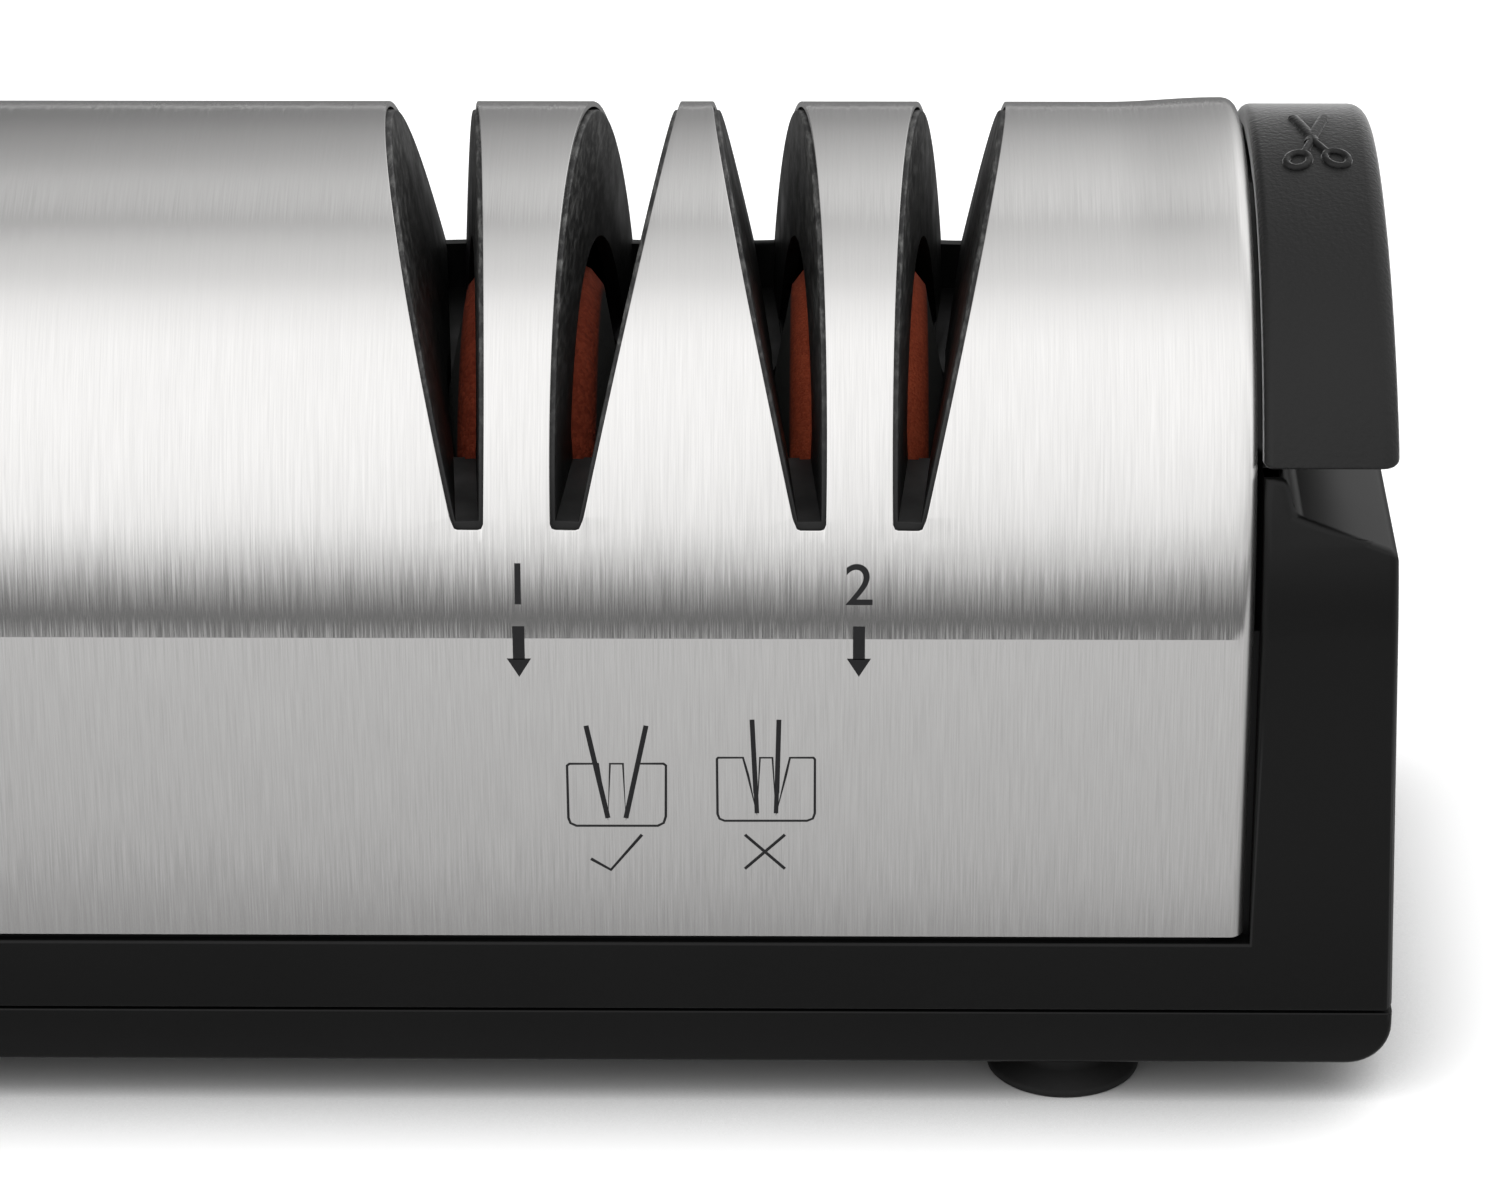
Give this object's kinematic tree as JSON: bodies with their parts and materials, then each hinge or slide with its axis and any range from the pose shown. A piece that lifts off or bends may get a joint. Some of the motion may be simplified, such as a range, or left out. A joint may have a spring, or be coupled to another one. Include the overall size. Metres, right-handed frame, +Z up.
{
  "type": "electric knife sharpener",
  "caption": "Countertop electric knife sharpener: arched steel shell with paired blade slots, black mouldings, a scissors notch at the right end and rubber feet.",
  "frame": {"origin": "centre of the bounding box's bottom face, at the level of the feet", "axes": "+X along the body towards the scissors notch, +Y to the back where the cord gland is, +Z up; the front with the rocker switch faces -Y"},
  "size_m": [0.226, 0.0864, 0.0933],
  "materials": {
    "shell_steel": "brushed round the dome, clear satin",
    "black_plastic": "fine moulded grain",
    "cover_plastic": "fine spark-eroded grain",
    "guide_plastic": "smooth",
    "switch_plastic": "satin",
    "inner_plastic": "as moulded",
    "rubber": "matt",
    "plated_steel": "zinc plated",
    "core_steel": "stacked laminations",
    "shaft_steel": "ground",
    "screw_steel": "zinc plated",
    "cast_zinc": "die cast",
    "coupling_alloy": "turned",
    "bronze": "sintered",
    "copper": "bare copper",
    "ferrite": "sintered ferrite",
    "carbon": "pressed carbon",
    "coarse_stone": "bonded grit",
    "fine_stone": "bonded fine grit",
    "board": "laminate with solder mask",
    "board_parts": "component cases",
    "lead_insulation": "extruded insulation"
  },
  "bodies": {
    "body": {"base_tray": "black_plastic", "main_housing": "black_plastic", "steel_shell": "shell_steel", "left_end_cap": "black_plastic", "scissors_cover": "cover_plastic", "coarse_guide": "guide_plastic", "fine_guide": "guide_plastic", "chassis_plate": "plated_steel", "left_pedestal": "cast_zinc", "right_pedestal": "cast_zinc", "left_bush": "bronze", "right_bush": "bronze", "motor_can": "plated_steel", "motor_end_bell": "black_plastic", "motor_magnets": "ferrite", "motor_brushes": "carbon", "motor_cradle": "inner_plastic", "motor_straps": "plated_steel", "circuit_board": "board", "board_parts": "board_parts", "switch_body": "switch_plastic", "inner_leads": "lead_insulation", "cord_gland": "rubber", "foot_front_left": "rubber", "foot_front_right": "rubber", "foot_back_left": "rubber", "foot_back_right": "rubber", "base_screws": "screw_steel", "cap_screws": "screw_steel", "chassis_screws": "screw_steel", "cover_screws": "screw_steel", "strap_screws": "screw_steel", "pedestal_screws": "screw_steel", "cradle_screws": "screw_steel"},
    "rotor": {"armature_core": "core_steel", "armature_windings": "copper", "commutator": "copper", "cooling_fan": "inner_plastic", "motor_shaft": "shaft_steel", "shaft_coupling": "coupling_alloy", "wheel_shaft": "shaft_steel", "left_spacer": "plated_steel", "middle_spacer": "plated_steel", "right_spacer": "plated_steel", "coarse_hub": "inner_plastic", "coarse_wheel": "coarse_stone", "fine_hub": "inner_plastic", "fine_wheel": "fine_stone", "scissors_hub": "inner_plastic", "scissors_wheel": "fine_stone", "shaft_nut": "screw_steel"},
    "rocker": {"switch_rocker": "switch_plastic"}
  },
  "joints": [
    {"name": "rotor_spin", "type": "hinge", "parent": "body", "child": "rotor", "pos_m": [0, 0, 0.0516], "axis": [1, 0, 0], "continuous": true},
    {"name": "rocker_tilt", "type": "hinge", "parent": "body", "child": "rocker", "pos_m": [-0.062, -0.0372, 0.03653], "axis": [0, 0, -1], "range_deg": [0, 22]}
  ]
}
